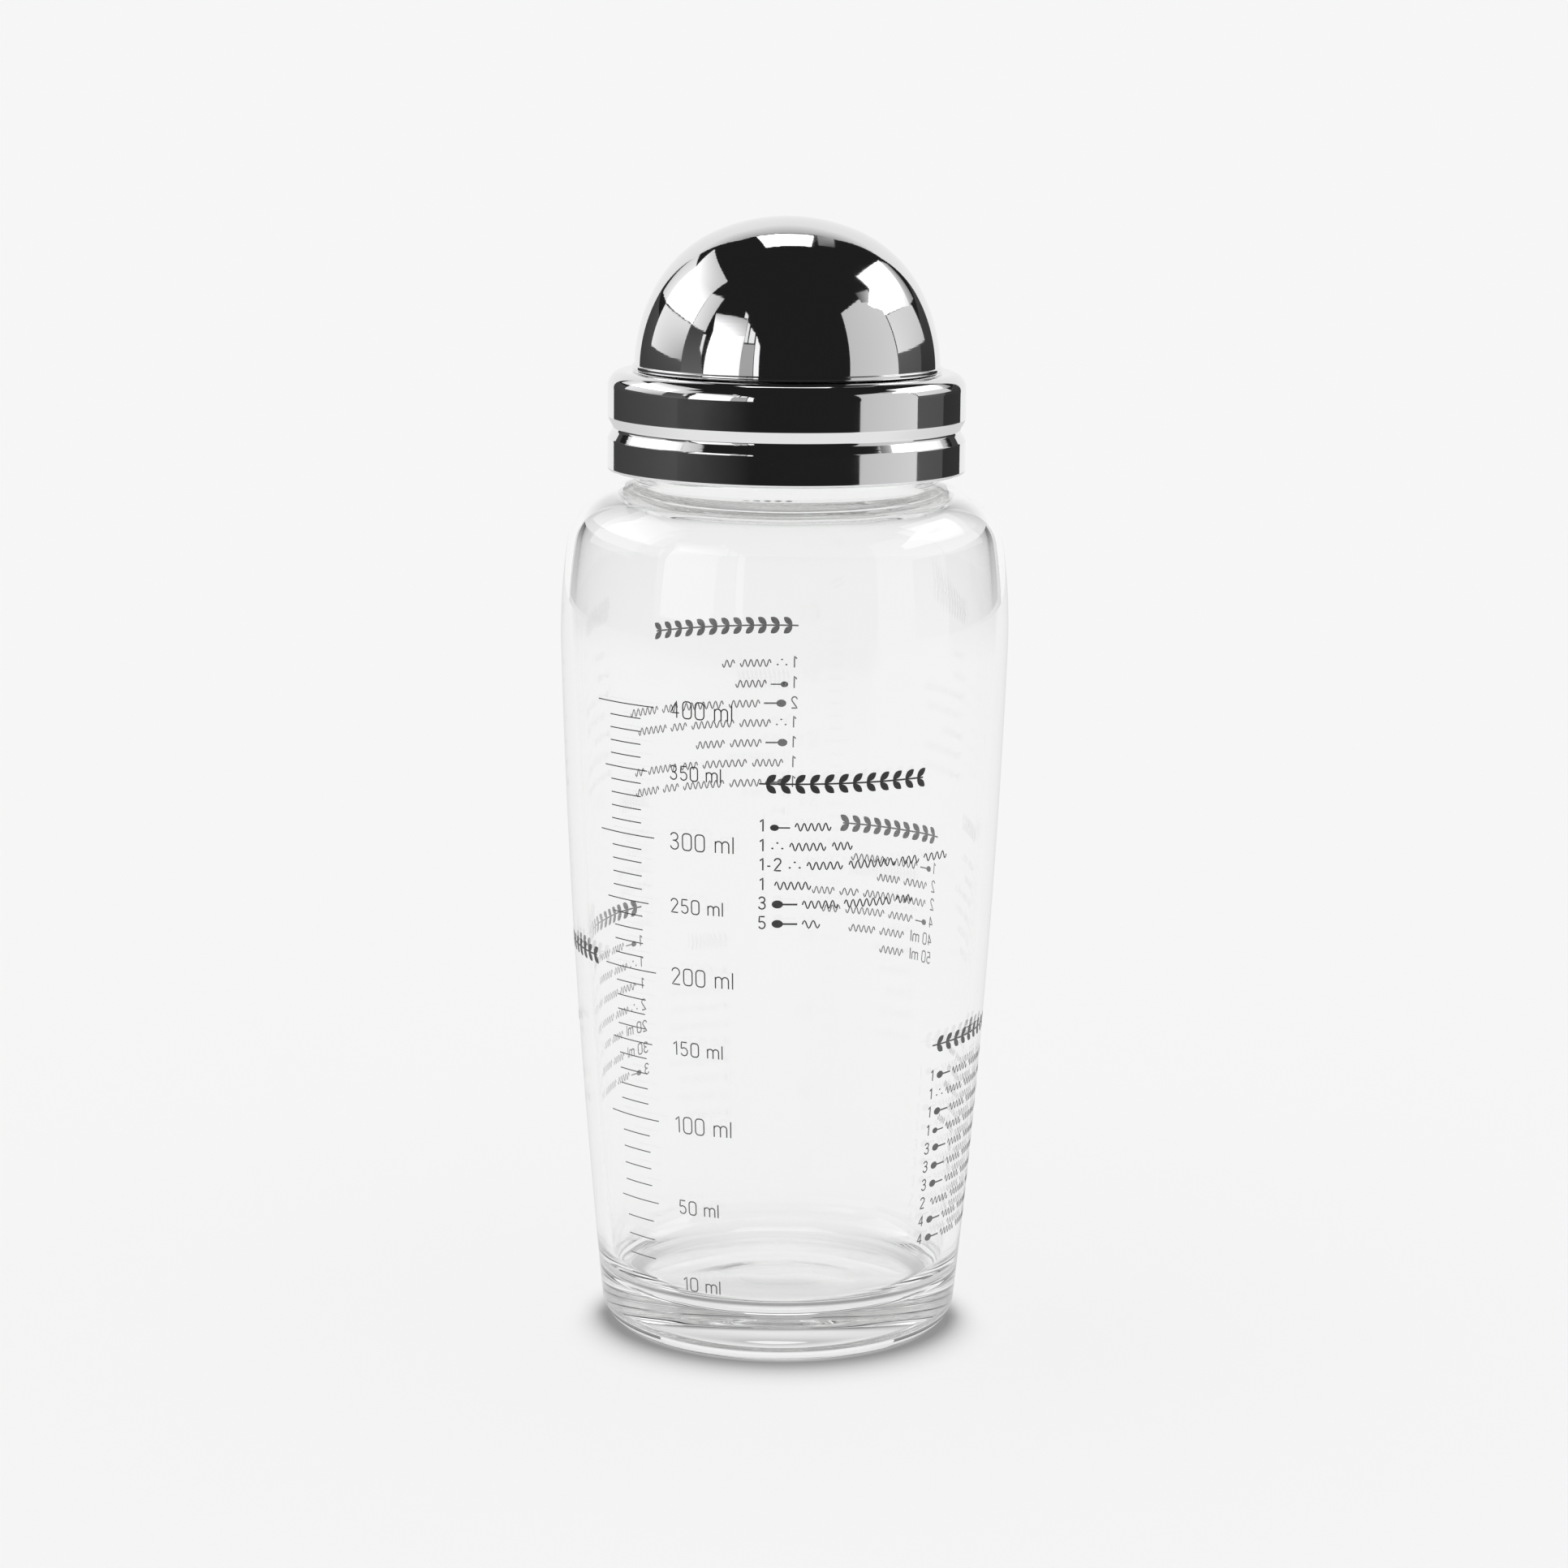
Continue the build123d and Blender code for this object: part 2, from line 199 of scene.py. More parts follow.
def shallow(radius, rise, level, steps):
    """A crown that rises from its edge at the level in to the axis, as half a cosine wave."""
    reach = radius * (1 - np.arange(steps) / steps)
    return np.stack((reach, level + rise * (1 + np.cos(pi * reach / radius)) / 2), axis=1)


# Meshes
def finish_mesh(name, points, faces):
    """A smooth mesh object at the origin, from points in millimetres."""
    mesh = bpy.data.meshes.new(name)
    mesh.from_pydata(np.asarray(points) * mm, [], faces)
    mesh.polygons.foreach_set("use_smooth", np.ones(len(mesh.polygons), dtype=bool))
    mesh.update()
    piece = bpy.data.objects.new(name, mesh)
    bpy.context.collection.objects.link(piece)
    return piece


def turned(profile, swell=None):
    """A surface of revolution: each (radius, height) row is carried round the axis. The swell adds
    to the radius as a function of azimuth and height. A row on the axis becomes a single point."""
    profile = np.asarray(profile, dtype=float)
    angle = 2 * pi * np.arange(segments) / segments
    reach = np.repeat(profile[:, :1], segments, axis=1)
    height = np.repeat(profile[:, 1:], segments, axis=1)
    if swell is not None:
        reach = reach + swell(angle[None, :], profile[:, :1], height)
    points = np.stack((reach * np.sin(angle), -reach * np.cos(angle), height), axis=2)
    on_axis = profile[:, 0] < 1e-6
    count = len(profile)
    numbers = np.arange(count * segments).reshape(count, segments)
    faces = []
    for row in range(count - 1):
        here = numbers[row]
        above = numbers[row + 1]
        here_next = np.roll(here, -1)
        above_next = np.roll(above, -1)
        if on_axis[row]:
            faces.append(np.stack((np.full(segments, here[0]), above_next, above), axis=1))
        elif on_axis[row + 1]:
            faces.append(np.stack((here, here_next, np.full(segments, above[0])), axis=1))
        else:
            faces.append(np.stack((here, here_next, above_next, above), axis=1))
    used = np.unique(np.concatenate([face.ravel() for face in faces]))
    renumbered = np.zeros(count * segments, dtype=int)
    renumbered[used] = np.arange(len(used))
    points = points.reshape(-1, 3)[used]
    return points, [row for face in faces for row in renumbered[face].tolist()]


# Shader helpers
def material(name):
    """A new material, its node tree and its Principled BSDF."""
    made = bpy.data.materials.new(name)
    made.use_nodes = True
    return made, made.node_tree, made.node_tree.nodes["Principled BSDF"]


def group(name, inputs, outputs):
    """An empty node group with named sockets, as (tree, input node, output node)."""
    tree = bpy.data.node_groups.new(name, "ShaderNodeTree")
    for label, kind, value in inputs:
        socket = tree.interface.new_socket(name=label, in_out="INPUT", socket_type=kind)
        socket.default_value = value
    for label, kind in outputs:
        tree.interface.new_socket(name=label, in_out="OUTPUT", socket_type=kind)
    return tree, tree.nodes.new("NodeGroupInput"), tree.nodes.new("NodeGroupOutput")


def put(piece, made):
    """The piece, or CAD node, wears this one material."""
    piece.data.materials.clear()
    piece.data.materials.append(made)


# Smudges: broad soft patches that raise the roughness, as fingers and wiping leave them
smudge_group, smudge_in, smudge_out = group(
    "smudges",
    (
        ("Scale", "NodeSocketFloat", 40.0),
        ("Clean", "NodeSocketFloat", 0.04),
        ("Smudged", "NodeSocketFloat", 0.12),
    ),
    (("Roughness", "NodeSocketFloat"),),
)
tree = smudge_group
place = tree.nodes.new("ShaderNodeTexCoord")
patches = tree.nodes.new("ShaderNodeTexNoise")
patches.inputs["Detail"].default_value = 5.0
patches.inputs["Roughness"].default_value = 0.6
spread = tree.nodes.new("ShaderNodeMapRange")
spread.inputs["From Min"].default_value = 0.45
spread.inputs["From Max"].default_value = 0.8
tree.links.new(place.outputs["Object"], patches.inputs["Vector"])
tree.links.new(smudge_in.outputs["Scale"], patches.inputs["Scale"])
tree.links.new(patches.outputs["Fac"], spread.inputs["Value"])
tree.links.new(smudge_in.outputs["Clean"], spread.inputs["To Min"])
tree.links.new(smudge_in.outputs["Smudged"], spread.inputs["To Max"])
tree.links.new(spread.outputs["Result"], smudge_out.inputs["Roughness"])

# Turning lines: fine rings round the axis, as spinning and polishing leave them. The noise reads the
# height and the distance from the axis only, so that it is the same all the way round.
turning_group, turning_in, turning_out = group(
    "turning lines",
    (("Fineness", "NodeSocketFloat", 3000.0),),
    (("Height", "NodeSocketFloat"),),
)
tree = turning_group
place = tree.nodes.new("ShaderNodeTexCoord")
split = tree.nodes.new("ShaderNodeSeparateXYZ")
across = tree.nodes.new("ShaderNodeVectorMath")
across.operation = "LENGTH"
flat = tree.nodes.new("ShaderNodeVectorMath")
flat.operation = "MULTIPLY"
flat.inputs[1].default_value = (1.0, 1.0, 0.0)
where = tree.nodes.new("ShaderNodeCombineXYZ")
rings = tree.nodes.new("ShaderNodeTexNoise")
rings.inputs["Detail"].default_value = 2.0
tree.links.new(place.outputs["Object"], flat.inputs[0])
tree.links.new(flat.outputs["Vector"], across.inputs[0])
tree.links.new(place.outputs["Object"], split.inputs["Vector"])
tree.links.new(across.outputs["Value"], where.inputs["X"])
tree.links.new(split.outputs["Z"], where.inputs["Z"])
tree.links.new(where.outputs["Vector"], rings.inputs["Vector"])
tree.links.new(turning_in.outputs["Fineness"], rings.inputs["Scale"])
tree.links.new(rings.outputs["Fac"], turning_out.inputs["Height"])


def place_group(tree, source, **values):
    """A group node in the tree, with its own values for the named inputs."""
    node = tree.nodes.new("ShaderNodeGroup")
    node.node_tree = source
    for label, value in values.items():
        node.inputs[label].default_value = value
    return node


def add_relief(tree, shader, height, strength, distance):
    """A Bump node from the height to the shader's Normal."""
    bump = tree.nodes.new("ShaderNodeBump")
    bump.inputs["Strength"].default_value = strength
    bump.inputs["Distance"].default_value = distance
    tree.links.new(height, bump.inputs["Height"])
    tree.links.new(bump.outputs["Normal"], shader.inputs["Normal"])


turning_depth = 0.00002      # in metres


def steel(name, colour, clean, smudged, fineness, relief):
    """Polished sheet steel with smudges and turning lines."""
    made, tree, shader = material(name)
    shader.inputs["Base Color"].default_value = (*colour, 1)
    shader.inputs["Metallic"].default_value = 1.0
    smudges = place_group(tree, smudge_group, Scale=60.0, Clean=clean, Smudged=smudged)
    tree.links.new(smudges.outputs["Roughness"], shader.inputs["Roughness"])
    lines = place_group(tree, turning_group, Fineness=fineness)
    add_relief(tree, shader, lines.outputs["Height"], relief, turning_depth)
    return made


mirror_steel = steel("mirror_steel", (0.84, 0.84, 0.85), 0.03, 0.09, 2500.0, 0.15)
inner_steel = steel("inner_steel", (0.72, 0.72, 0.72), 0.14, 0.22, 3500.0, 0.4)

# Clear glass, with the slow ripple that blowing leaves, drawn out along the height
clear_glass, tree, shader = material("clear_glass")
shader.inputs["Base Color"].default_value = (0.985, 0.99, 0.985, 1)
shader.inputs["Roughness"].default_value = 0.0
shader.inputs["IOR"].default_value = 1.5
shader.inputs["Transmission Weight"].default_value = 1.0
place = tree.nodes.new("ShaderNodeTexCoord")
stretch = tree.nodes.new("ShaderNodeMapping")
stretch.inputs["Scale"].default_value = (1.0, 1.0, 0.2)
ripple = tree.nodes.new("ShaderNodeTexNoise")
ripple.inputs["Scale"].default_value = 60.0
ripple.inputs["Detail"].default_value = 1.0
tree.links.new(place.outputs["Object"], stretch.inputs["Vector"])
tree.links.new(stretch.outputs["Vector"], ripple.inputs["Vector"])
ripple_depth = 0.001          # in metres
add_relief(tree, shader, ripple.outputs["Fac"], 0.15, ripple_depth)

# Moulded white plastic
insert_plastic, tree, shader = material("insert_plastic")
shader.inputs["Base Color"].default_value = (0.88, 0.88, 0.87, 1)
smudges = place_group(tree, smudge_group, Scale=90.0, Clean=0.38, Smudged=0.5)
tree.links.new(smudges.outputs["Roughness"], shader.inputs["Roughness"])

# Clear silicone, milky inside
clear_silicone, tree, shader = material("clear_silicone")
shader.inputs["Base Color"].default_value = (0.86, 0.87, 0.87, 1)
shader.inputs["Transmission Weight"].default_value = 0.5
shader.inputs["IOR"].default_value = 1.41
smudges = place_group(tree, smudge_group, Scale=120.0, Clean=0.3, Smudged=0.42)
tree.links.new(smudges.outputs["Roughness"], shader.inputs["Roughness"])

# Screen-printed ink, a little thinner towards the foot and uneven
print_ink, tree, shader = material("print_ink")
smudges = place_group(tree, smudge_group, Scale=400.0, Clean=0.4, Smudged=0.55)
tree.links.new(smudges.outputs["Roughness"], shader.inputs["Roughness"])
place = tree.nodes.new("ShaderNodeTexCoord")
split = tree.nodes.new("ShaderNodeSeparateXYZ")
fade = tree.nodes.new("ShaderNodeMapRange")
fade.inputs["From Min"].default_value = 0.02
fade.inputs["From Max"].default_value = 0.12
specks = tree.nodes.new("ShaderNodeTexNoise")
specks.inputs["Scale"].default_value = 900.0
uneven = tree.nodes.new("ShaderNodeMath")
uneven.operation = "MULTIPLY_ADD"
uneven.inputs[1].default_value = 0.5
ink_shade = tree.nodes.new("ShaderNodeValToRGB")
ink_shade.color_ramp.elements[0].color = (0.17, 0.17, 0.17, 1)
ink_shade.color_ramp.elements[1].color = (0.018, 0.018, 0.018, 1)
tree.links.new(place.outputs["Object"], split.inputs["Vector"])
tree.links.new(place.outputs["Object"], specks.inputs["Vector"])
tree.links.new(split.outputs["Z"], fade.inputs["Value"])
tree.links.new(specks.outputs["Fac"], uneven.inputs[0])
tree.links.new(fade.outputs["Result"], uneven.inputs[2])
tree.links.new(uneven.outputs["Value"], ink_shade.inputs["Fac"])
tree.links.new(ink_shade.outputs["Color"], shader.inputs["Base Color"])

# Glass bottle
corner_side = body_side(0, 0, foot_round, neck_radius, neck_root_round, 28)
hollow_side = body_side(glass_wall, floor_thickness, floor_round, mouth_radius, neck_mouth_round, 24)
neck_foot = corner_side[-1]
rim_outer = (neck_radius - rim_round, rim_height - rim_round)
rim_inner = (mouth_radius + rim_round, rim_height - rim_round)
glass_profile = np.concatenate((
    shallow(punt_radius, punt_depth, 0, 24)[::-1],
    line((punt_radius, 0), corner_side[0], 6)[1:],
    corner_side[:-1],
    line(neck_foot, (neck_radius, rim_outer[1]), 64),
    arc(rim_outer, rim_round, 0, pi / 2, 6),
    arc(rim_inner, rim_round, pi / 2, pi, 6),
    line((mouth_radius, rim_inner[1]), hollow_side[-1], 8),
    hollow_side[::-1],
    shallow(floor_crown_radius, floor_crown_rise, floor_thickness, 24),
    [(0, floor_thickness + floor_crown_rise)],
))
glass_profile = np.concatenate(([(0, punt_depth)], glass_profile))


def thread_swell(angle, reach, height):
    """The ridges of the thread. Each start climbs one lead a turn from its first azimuth, and its
    section is a trapezoid whose height fades out over the run-out at both ends."""
    swell = np.zeros(np.broadcast_shapes(angle.shape, height.shape))
    outside = np.abs(reach - neck_radius) < 1e-6
    slope = thread_depth / ((thread_root_width - thread_crest_width) / 2)
    first = collar_foot + thread_above_foot
    for start in range(thread_starts):
        turn = (np.degrees(angle) - thread_first_azimuth - 360 * start / thread_starts) % 360
        for lap in range(int(np.ceil(thread_rise / thread_lead))):
            along = turn + 360 * lap
            middle = first + thread_lead * along / 360
            away = np.abs(height - middle)
            ridge = np.clip((thread_root_width / 2 - away) * slope, 0, thread_depth)
            length = 360 * thread_rise / thread_lead
            fade = np.clip(np.minimum(along, length - along) / thread_runout, 0, 1)
            swell = np.maximum(swell, ridge * fade * fade * (3 - 2 * fade))
    return np.where(outside, swell, 0)


glass_bottle = finish_mesh("bottle_glass", *turned(glass_profile, thread_swell))
put(glass_bottle, clear_glass)
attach(glass_bottle, "bottle")
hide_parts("glass_bottle")
# Light falls through the glass onto the floor and the inner pieces as if the glass weren't there; the floor
# has a painted contact shadow instead
glass_bottle.visible_shadow = False
glass_bottle.visible_diffuse = False

# Print on the glass: strokes of ink drawn on the outer surface. A stroke's points are (across, up) in
# millimetres, from a first azimuth and a base height, and its ink is a thin closed ribbon.
ink_foot = 0.005
ink_top = 0.02
tick_width = 0.19
label_width = 0.23
guide_width = 0.26
stem_width = 0.3
wall_rows = corner_side[np.argsort(corner_side[:-1, 1])]


def divided(path, longest):
    """The path with points added so that no run is longer than the longest, evenly in each run."""
    path = np.asarray(path, dtype=float)
    rows = []
    for start, end in zip(path[:-1], path[1:]):
        rows.append(line(start, end, max(1, int(np.ceil(np.linalg.norm(end - start) / longest)))))
    return np.concatenate(rows + [path[-1:]])


def bend(middle, reach, start, end, steps=9):
    """Points on an ellipse with those half axes, from the start angle to the end angle in degrees."""
    angle = np.radians(np.linspace(start, end, steps))
    return np.stack((middle[0] + reach[0] * np.cos(angle), middle[1] + reach[1] * np.sin(angle)), axis=1)


def on_glass(across, up, azimuth, base, lift):
    """Where a point of the print lies: its azimuth grows by across over the radius at the base, and
    its radius is the outer wall's at its height, plus the lift."""
    height = base + up
    radius = np.interp(height, wall_rows[:, 1], wall_rows[:, 0])
    angle = radians(azimuth) + across / np.interp(base, wall_rows[:, 1], wall_rows[:, 0])
    reach = radius + lift
    return np.stack((reach * np.sin(angle), -reach * np.cos(angle), height), axis=-1)


class Print:
    """Strokes of ink gathered into one mesh."""

    def __init__(self):
        self.points = []
        self.faces = []
        self.count = 0

    def stroke(self, path, width, azimuth, base, closed=False):
        """A ribbon along the path. Its edges are half the width to both sides of the path, square to
        the mean of the runs that meet at each point, and its section is a flat rectangle."""
        path = np.asarray(path, dtype=float)
        if closed:
            run = np.roll(path, -1, axis=0) - np.roll(path, 1, axis=0)
        else:
            run = np.gradient(path, axis=0)
        run /= np.linalg.norm(run, axis=1)[:, None]
        side = np.stack((-run[:, 1], run[:, 0]), axis=1) * np.broadcast_to(width, len(path))[:, None] / 2
        left = path + side
        right = path - side
        sections = np.stack([
            on_glass(edge[:, 0], edge[:, 1], azimuth, base, lift)
            for edge, lift in ((right, ink_foot), (right, ink_top), (left, ink_top), (left, ink_foot))
        ], axis=1)
        numbers = self.count + np.arange(4 * len(path)).reshape(-1, 4)
        after = np.roll(numbers, -1, axis=0) if closed else numbers[1:]
        here = numbers if closed else numbers[:-1]
        for corner in range(4):
            other = (corner + 1) % 4
            quads = np.stack((here[:, corner], after[:, corner], after[:, other], here[:, other]), axis=1)
            self.faces += quads.tolist()
        if not closed:
            self.faces.append(numbers[0].tolist())
            self.faces.append(numbers[-1, ::-1].tolist())
        self.points.append(sections.reshape(-1, 3))
        self.count += 4 * len(path)

    def make(self, name):
        """The gathered strokes as one flat-shaded piece on the bottle."""
        piece = finish_mesh(name, np.concatenate(self.points), self.faces)
        piece.data.polygons.foreach_set("use_smooth", np.zeros(len(piece.data.polygons), dtype=bool))
        put(piece, print_ink)
        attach(piece, "bottle")
        return piece


# Each figure is one or more (closed, path) strokes in a box one high, and its width
figures = {
    "0": ([(True, np.concatenate((
        bend((0.36, 0.77), (0.2, 0.23), 0, 90), bend((0.2, 0.77), (0.2, 0.23), 90, 180),
        bend((0.2, 0.23), (0.2, 0.23), 180, 270), bend((0.36, 0.23), (0.2, 0.23), 270, 360),
    )))], 0.56),
    "1": ([(False, ((0.1, 0.78), (0.34, 1.0), (0.34, 0.0)))], 0.4),
    "2": ([(False, np.concatenate((
        bend((0.28, 0.75), (0.26, 0.25), 172, -25), ((0.02, 0.0), (0.56, 0.0)),
    )))], 0.56),
    "3": ([(False, np.concatenate((
        bend((0.27, 0.77), (0.24, 0.23), 165, -88), ((0.17, 0.54),),
        bend((0.27, 0.27), (0.27, 0.27), 88, -165),
    )))], 0.56),
    "4": ([(False, ((0.44, 0.0), (0.44, 1.0), (0.02, 0.3), (0.6, 0.3)))], 0.6),
    "5": ([(False, np.concatenate((
        ((0.5, 1.0), (0.08, 1.0), (0.05, 0.54)), bend((0.27, 0.3), (0.27, 0.3), 125, -155),
    )))], 0.56),
    "m": ([
        (False, ((0.0, 0.0), (0.0, 0.7))),
        (False, np.concatenate((bend((0.2, 0.5), (0.2, 0.2), 180, 0), ((0.4, 0.0),)))),
        (False, np.concatenate((bend((0.6, 0.5), (0.2, 0.2), 180, 0), ((0.8, 0.0),)))),
    ], 0.8),
    "l": ([(False, ((0.0, 0.0), (0.0, 1.0)))], 0.0),
    "-": ([(False, ((0.04, 0.36), (0.3, 0.36)))], 0.34),
}
figure_gap = 0.25
space_width = 0.42


def write(ink, text, height, width, azimuth, base, span=None):
    """Figures of that height side by side. Where a span is given, they are spread to fill it."""
    places = []
    pen = 0.0
    for sign in text:
        if sign == " ":
            pen += space_width
            continue
        places.append((sign, pen))
        pen += figures[sign][1] + figure_gap
    pen = (pen - figure_gap) * height
    spread = 1.0 if span is None else span / pen
    for sign, start in places:
        for closed, path in figures[sign][0]:
            path = (np.asarray(path) + (start, 0)) * height * (spread, 1)
            if not closed:
                path = divided(path, 0.5)
            ink.stroke(path, width, azimuth, base, closed)
    return pen * spread


# The volume scale: a tick each 10 ml, a label at 10 ml and at each 50 ml, and heights that follow the
# photographed marks. The ends of the ticks are (volume, first azimuth, last azimuth), and a label is
# (text, first azimuth, base height, last azimuth, height of its figures).
scale_volumes = np.array([
    10, 20, 30, 40, 50, 60, 70, 80, 90, 100, 150, 200, 250, 300, 350, 400,
])
scale_heights = np.array([
    14.17, 17.9, 21.5, 24.98, 28.56, 31.67, 34.8, 37.9, 40.93, 44.05, 58.05, 71.33, 83.72, 95.68,
    107.45, 118.90,
])
tick_ends = {
    "short": ((0, -51.8, -40.5), (200, -50.5, -39.8), (400, -49.2, -38.4)),
    "middle": ((0, -54.1, -38.2), (200, -53.2, -37.6), (400, -51.4, -36.3)),
    "long": ((100, -56.3, -36.5), (200, -55.2, -35.5), (400, -54.1, -34.2)),
}
volume_ticks = Print()
for volume in range(10, 401, 10):
    base = float(np.interp(volume, scale_volumes, scale_heights))
    kind = "long" if volume % 100 == 0 else "middle" if volume % 50 == 0 else "short"
    ends = np.array(tick_ends[kind])
    left = np.interp(volume, ends[:, 0], ends[:, 1])
    right = np.interp(volume, ends[:, 0], ends[:, 2])
    reach = radians(right - left) * np.interp(base, wall_rows[:, 1], wall_rows[:, 0])
    volume_ticks.stroke(divided(((0, 0), (reach, 0)), 1.0), tick_width, left, base)
volume_ticks.make("volume_ticks")

volume_labels = Print()
for text, left, base, right, height in (
    ("400 ml", -29.3, 117.5, -12.9, 2.95),
    ("350 ml", -29.6, 106.6, -15.8, 2.45),
    ("300 ml", -29.9, 94.2, -12.6, 2.95),
    ("250 ml", -30.1, 82.9, -15.5, 2.45),
    ("200 ml", -30.4, 69.9, -12.9, 2.95),
    ("150 ml", -30.9, 57.0, -16.0, 2.45),
    ("100 ml", -31.1, 42.7, -13.8, 2.95),
    ("50 ml", -30.5, 27.6, -18.0, 2.45),
    ("10 ml", -30.5, 13.2, -18.0, 2.45),
):
    span = radians(right - left) * np.interp(base, wall_rows[:, 1], wall_rows[:, 0])
    write(volume_labels, text, height, label_width, left, base, span)
volume_labels.make("volume_labels")


# The serving guides: rows of an amount, a measure and wavy words, under a sprig of leaves
leaf_spacing = 2.4
leaf_length = 1.7
leaf_width = 1.15
leaf_tip_width = 0.06
word_lengths = (2.9, 4.1, 1.8, 3.4, 2.4, 3.8, 2.0, 3.0, 3.6)      # for figures one high
crest_spacing = 0.58                                              # for figures one high


def sprig(ink, length, height, azimuth, base):
    """A lying stem with leaves in pairs. A leaf is a ribbon whose width is a half wave, widest in
    its middle, along a short line that leans away from the stem's root."""
    ink.stroke(divided(((0, 0), (length, 0)), 1.0), stem_width, azimuth, base + height / 2)
    count = int(length / leaf_spacing)
    along = np.linspace(0, 1, 9)
    for number in range(count):
        root = length * (number + 0.5) / count
        for way in (-1, 1):
            leaf = np.stack((root + leaf_length * along, way * height * 0.5 * along**0.8), axis=1)
            width = leaf_tip_width + leaf_width * np.sin(pi * along) ** 0.8
            ink.stroke(leaf, width, azimuth, base + height / 2)


def spoon(ink, size, start, azimuth, base):
    """A filled spoon seen from above: the bowl is a lying ribbon as wide as an ellipse is high there,
    and the handle is straight."""
    turn = np.radians(np.linspace(172, 8, 13))
    bowl = np.stack((start + 0.4 * size * (1 + np.cos(turn)), np.full(len(turn), 0.36 * size)), axis=1)
    ink.stroke(bowl, 0.58 * size * np.sin(turn), azimuth, base)
    handle = ((start + 0.78 * size, 0.36 * size), (start + 1.8 * size, 0.36 * size))
    ink.stroke(divided(handle, 0.6), 0.13 * size, azimuth, base)
    return start + 1.8 * size


def pinch(ink, size, start, azimuth, base):
    """Three grains, as small filled lozenges."""
    for across, up in ((0.2, 0.25), (0.6, 0.7), (1.0, 0.25)):
        grain = (np.array(((-0.11, 0.0), (0.0, 0.0), (0.11, 0.0))) + (across, up)) * size + (start, 0)
        ink.stroke(grain, (0.02, 0.4, 0.02), azimuth, base)
    return start + 1.2 * size


def wave(ink, start, end, size, azimuth, base):
    """A wavy line that stands for a word, with two crests or more, about the crest spacing apart."""
    crests = max(2, round((end - start) / (crest_spacing * size)))
    across = np.linspace(start, end, 8 * crests + 1)
    up = size * (0.38 + 0.32 * np.sin(2 * pi * crests * (across - start) / (end - start)))
    ink.stroke(np.stack((across, up), axis=1), 0.11 * size, azimuth, base)


def guide(name, azimuth, heading, rows, size):
    """One guide. Its heading is (end azimuth, base height, height) and each row is (base height, end
    azimuth, amount, measure), where the measure is a small or large spoon, a pinch or nothing. Waves
    fill the row up to its end."""
    ink = Print()
    reach = np.interp(heading[1], wall_rows[:, 1], wall_rows[:, 0]) * radians(heading[0] - azimuth)
    sprig(ink, reach, heading[2], azimuth, heading[1])
    for base, end_azimuth, amount, measure in rows:
        radius = np.interp(base, wall_rows[:, 1], wall_rows[:, 0])
        end = radius * radians(end_azimuth - azimuth)
        pen = write(ink, amount, size, guide_width, azimuth, base) + 0.5 * size
        if measure == "large":
            pen = spoon(ink, size * 1.15, pen, azimuth, base)
        elif measure == "small":
            pen = spoon(ink, size * 0.9, pen, azimuth, base)
        elif measure == "pinch":
            pen = pinch(ink, size, pen, azimuth, base)
        pen += 0.4 * size
        for length in word_lengths:
            last = min(pen + length * size, end)
            if last - pen > size:
                wave(ink, pen, last, size, azimuth, base)
            pen = last + 0.55 * size
    ink.make(name)


guide("guide_front", -6, (38, 105.2, 3.2), (
    (98.4, 14.5, "1", "small"),
    (94.9, 18.0, "1", "pinch"),
    (91.5, 47.7, "1-2", "pinch"),
    (88.0, 11.0, "1", ""),
    (84.6, 36.0, "3", "large"),
    (81.1, 9.9, "5", "large"),
), 2.15)
guide("guide_back", 176, (219.5, 121.7, 3.0), (
    (115.2, 198.0, "1", "pinch"),
    (111.4, 197.0, "1", "small"),
    (107.6, 233.6, "2", "large"),
    (103.9, 231.0, "1", "pinch"),
    (100.1, 206.0, "1", "large"),
    (96.3, 229.0, "1", ""),
    (92.5, 229.0, "1", "large"),
), 2.15)
guide("guide_back_right", 126, (162, 84.6, 3.0), (
    (79.0, 162.0, "1", "small"),
    (75.6, 150.0, "2", ""),
    (72.2, 171.0, "2", ""),
    (68.8, 171.0, "4", "small"),
    (65.4, 159.0, "40 ml", ""),
    (62.0, 148.0, "50 ml", ""),
), 2.1)
guide("guide_right", 47, (84, 56.0, 2.8), (
    (50.8, 96.0, "1", "large"),
    (47.4, 112.0, "1", "pinch"),
    (44.0, 108.0, "1", "large"),
    (40.6, 114.0, "1", "small"),
    (37.2, 106.0, "3", "large"),
    (33.8, 116.0, "3", "large"),
    (30.4, 98.0, "3", "large"),
    (27.0, 104.0, "2", ""),
    (23.6, 92.0, "4", "large"),
    (20.2, 100.0, "4", "large"),
), 2.0)
guide("guide_left", -131, (-60, 70.4, 2.9), (
    (64.5, -92.0, "1", "small"),
    (60.5, -98.0, "1", "pinch"),
    (56.4, -84.0, "1", ""),
    (52.3, -88.0, "2", "pinch"),
    (48.2, -100.0, "20 ml", ""),
    (44.1, -94.0, "30 ml", ""),
    (40.0, -86.0, "3", "small"),
), 2.0)

# Collar
groove_middle = collar_foot + groove_height
collar_outer = rounded(
    (
        (collar_radius - hem_width, collar_foot),
        (collar_radius, collar_foot),
        (collar_radius, groove_middle - groove_half_width),
        (collar_radius - groove_depth, groove_middle),
        (collar_radius, groove_middle + groove_half_width),
        (collar_radius, ledge_height),
        (ledge_hole_radius, ledge_height),
    ),
    (hem_round, groove_lip_round, groove_bed_round, groove_lip_round, ledge_round),
    10,
)
collar_depth = hem_round - 0.01      # just less than the hem's round, so its inner side doesn't fold
collar_inner = moved_in(collar_outer, collar_depth)
collar_loop = np.concatenate((collar_outer, collar_inner[::-1], collar_outer[:1]))
collar_piece = finish_mesh("collar_sheet", *turned(held(collar_loop)))
put(collar_piece, mirror_steel)
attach(collar_piece, "collar")
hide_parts("collar_shell")

